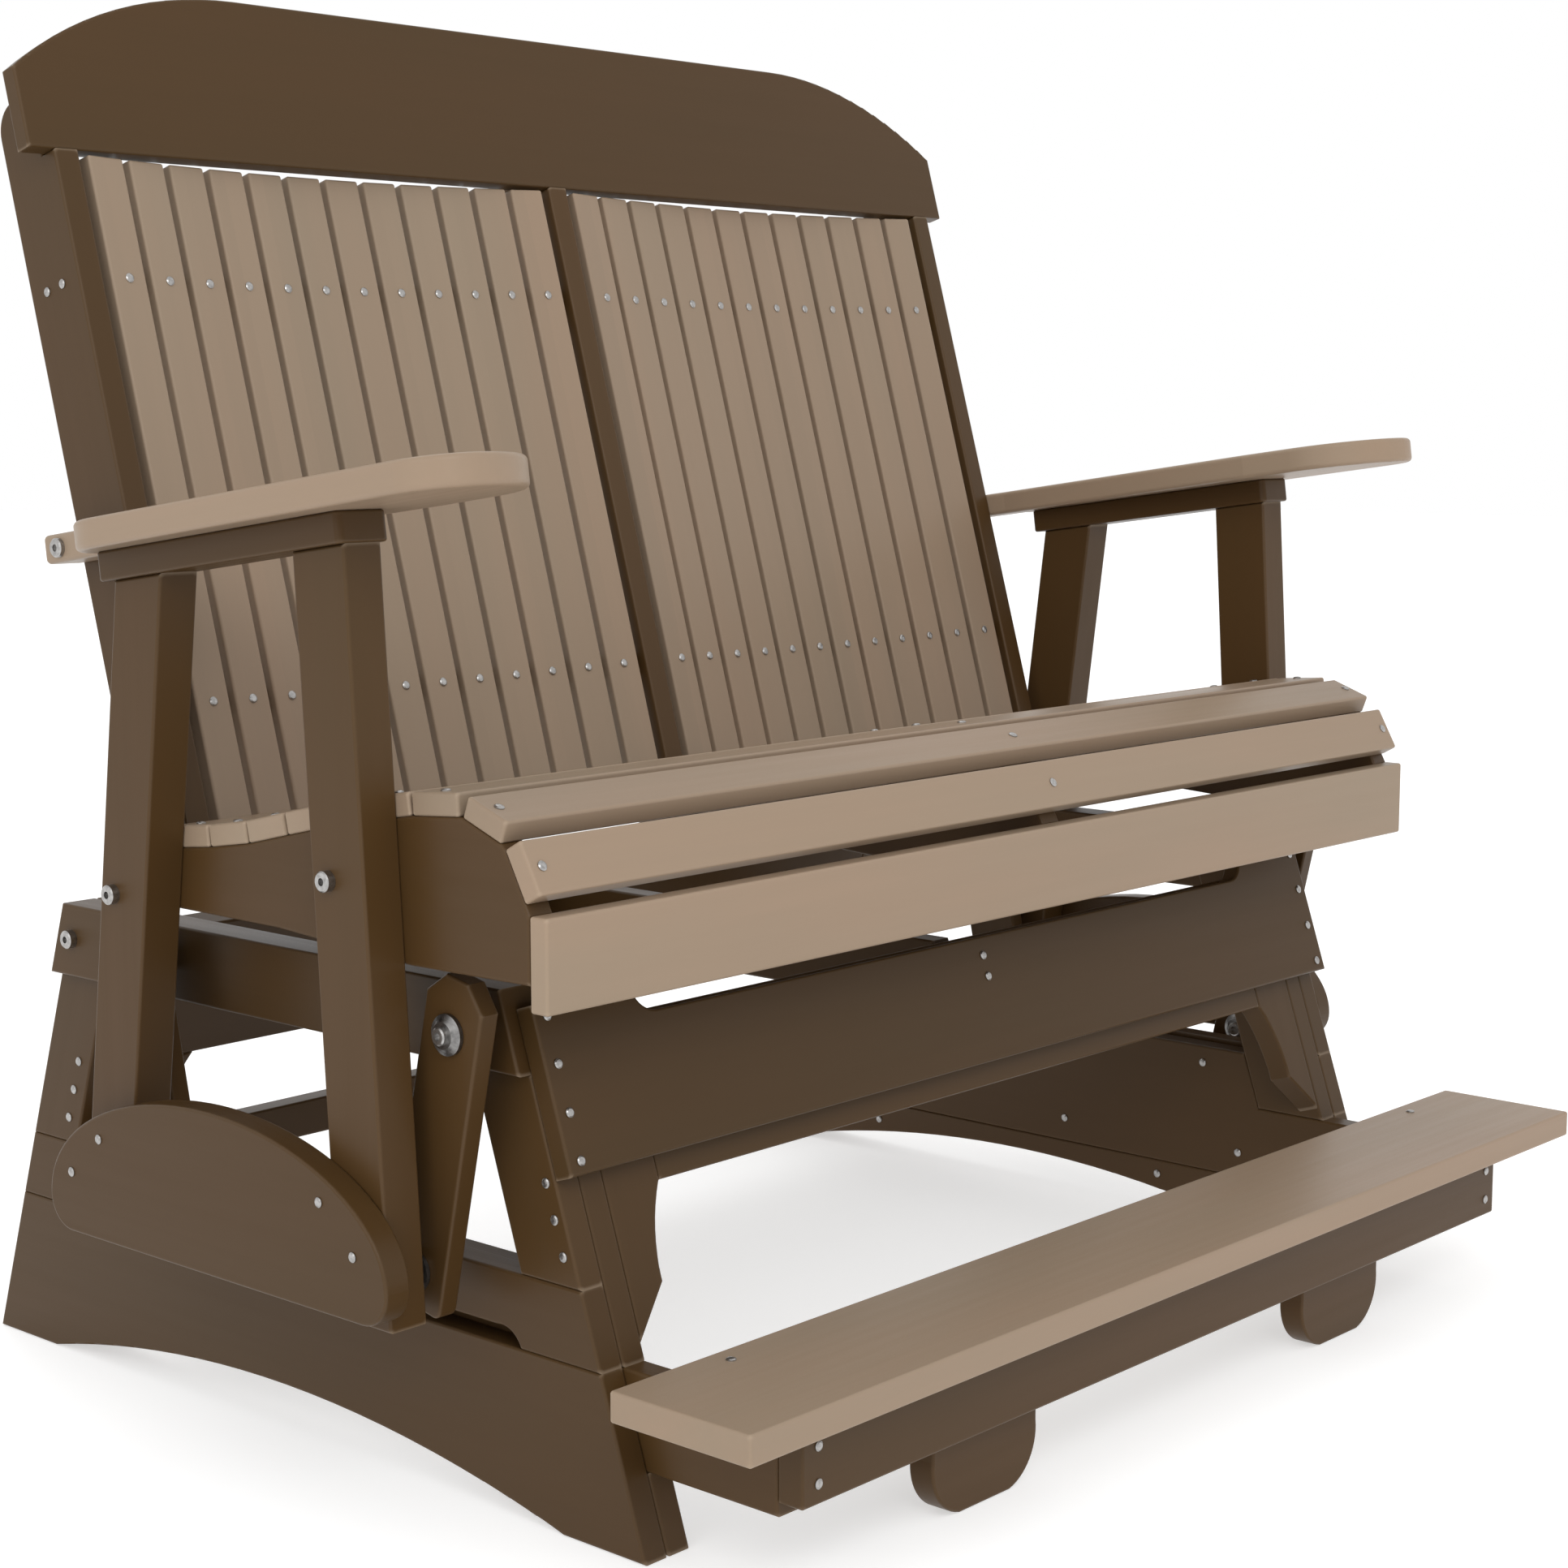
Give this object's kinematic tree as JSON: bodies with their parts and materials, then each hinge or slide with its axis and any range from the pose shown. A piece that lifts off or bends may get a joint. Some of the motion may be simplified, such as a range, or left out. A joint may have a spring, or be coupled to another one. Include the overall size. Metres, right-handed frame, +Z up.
{
  "type": "glider swing bench",
  "caption": "Two-seat porch glider of two-colour poly lumber: slatted seat and curved back hang on links from a base with a footrest.",
  "frame": {"origin": "middle of the object's box, at floor level", "axes": "+Z up, -Y is the front where the footrest is, +X to the right for someone facing the seat"},
  "size_m": [1.43, 1.0678, 1.2786],
  "materials": {
    "brown_lumber": "recycled plastic board, satin, dark brown",
    "sand_lumber": "recycled plastic board, satin, sand",
    "stainless": "stainless steel",
    "bush_plastic": "domed flanged bush"
  },
  "bodies": {
    "base": {"base_screws": "stainless", "bottom_board_left": "brown_lumber", "bottom_board_right": "brown_lumber", "centre_brace": "brown_lumber", "footrest_apron": "brown_lumber", "footrest_arm_left": "brown_lumber", "footrest_arm_right": "brown_lumber", "footrest_feet": "brown_lumber", "footrest_top": "sand_lumber", "frame_bolts": "stainless", "front_backing_strip": "brown_lumber", "front_board": "brown_lumber", "front_gussets": "brown_lumber", "front_leg_left": "brown_lumber", "front_leg_right": "brown_lumber", "inner_front_legs": "brown_lumber", "inner_lower_board_left": "brown_lumber", "inner_lower_board_right": "brown_lumber", "inner_rear_legs": "brown_lumber", "middle_board_left": "brown_lumber", "middle_board_right": "brown_lumber", "rear_cross_board": "brown_lumber", "rear_gussets": "brown_lumber", "rear_leg_left": "brown_lumber", "rear_leg_right": "brown_lumber", "rear_stretcher": "brown_lumber", "top_rail_left": "brown_lumber", "top_rail_right": "brown_lumber", "upper_pivot_bolts": "stainless", "upper_pivot_bushes": "bush_plastic"},
    "seat": {"arm_left": "sand_lumber", "arm_right": "sand_lumber", "arm_supports": "brown_lumber", "back_rails": "brown_lumber", "back_slats_left": "sand_lumber", "back_slats_right": "sand_lumber", "back_upright_centre": "brown_lumber", "back_upright_left": "brown_lumber", "back_upright_right": "brown_lumber", "front_posts": "brown_lumber", "headboard": "brown_lumber", "lower_pivot_bolts": "stainless", "lower_pivot_bushes": "bush_plastic", "post_bolts": "stainless", "rear_posts": "brown_lumber", "seat_apron": "sand_lumber", "seat_centre_frame": "brown_lumber", "seat_end_frame_left": "brown_lumber", "seat_end_frame_right": "brown_lumber", "seat_front_slat": "sand_lumber", "seat_nose_slat": "sand_lumber", "seat_screws": "stainless", "seat_second_slat": "sand_lumber", "seat_slats": "sand_lumber", "side_plates": "brown_lumber"},
    "link_front_left": {"link_front_left": "brown_lumber"},
    "link_front_right": {"link_front_right": "brown_lumber"},
    "link_rear_left": {"link_rear_left": "brown_lumber"},
    "link_rear_right": {"link_rear_right": "brown_lumber"}
  },
  "joints": [
    {"name": "glide", "type": "hinge", "parent": "base", "child": "link_front_left", "pos_m": [-0.6085, -0.19645, 0.41], "axis": [1, 0, 0], "range_deg": [-9, 9]},
    {"name": "seat_pivot", "type": "hinge", "parent": "link_front_left", "child": "seat", "pos_m": [-0.6085, -0.15245, 0.209], "axis": [1, 0, 0], "range_deg": [-12, 12]},
    {"name": "front_right_swing", "type": "hinge", "parent": "base", "child": "link_front_right", "pos_m": [0.6085, -0.19645, 0.41], "axis": [1, 0, 0], "range_deg": [-10, 10]},
    {"name": "rear_left_swing", "type": "hinge", "parent": "base", "child": "link_rear_left", "pos_m": [-0.6085, 0.22755, 0.41], "axis": [1, 0, 0], "range_deg": [-10, 10]},
    {"name": "rear_right_swing", "type": "hinge", "parent": "base", "child": "link_rear_right", "pos_m": [0.6085, 0.22755, 0.41], "axis": [1, 0, 0], "range_deg": [-10, 10]}
  ],
  "couplings": [
    {"joint": "seat_pivot", "follows": "glide", "ratio": -1.2619},
    {"joint": "front_right_swing", "follows": "glide", "ratio": 1},
    {"joint": "rear_left_swing", "follows": "glide", "ratio": 1},
    {"joint": "rear_right_swing", "follows": "glide", "ratio": 1}
  ]
}
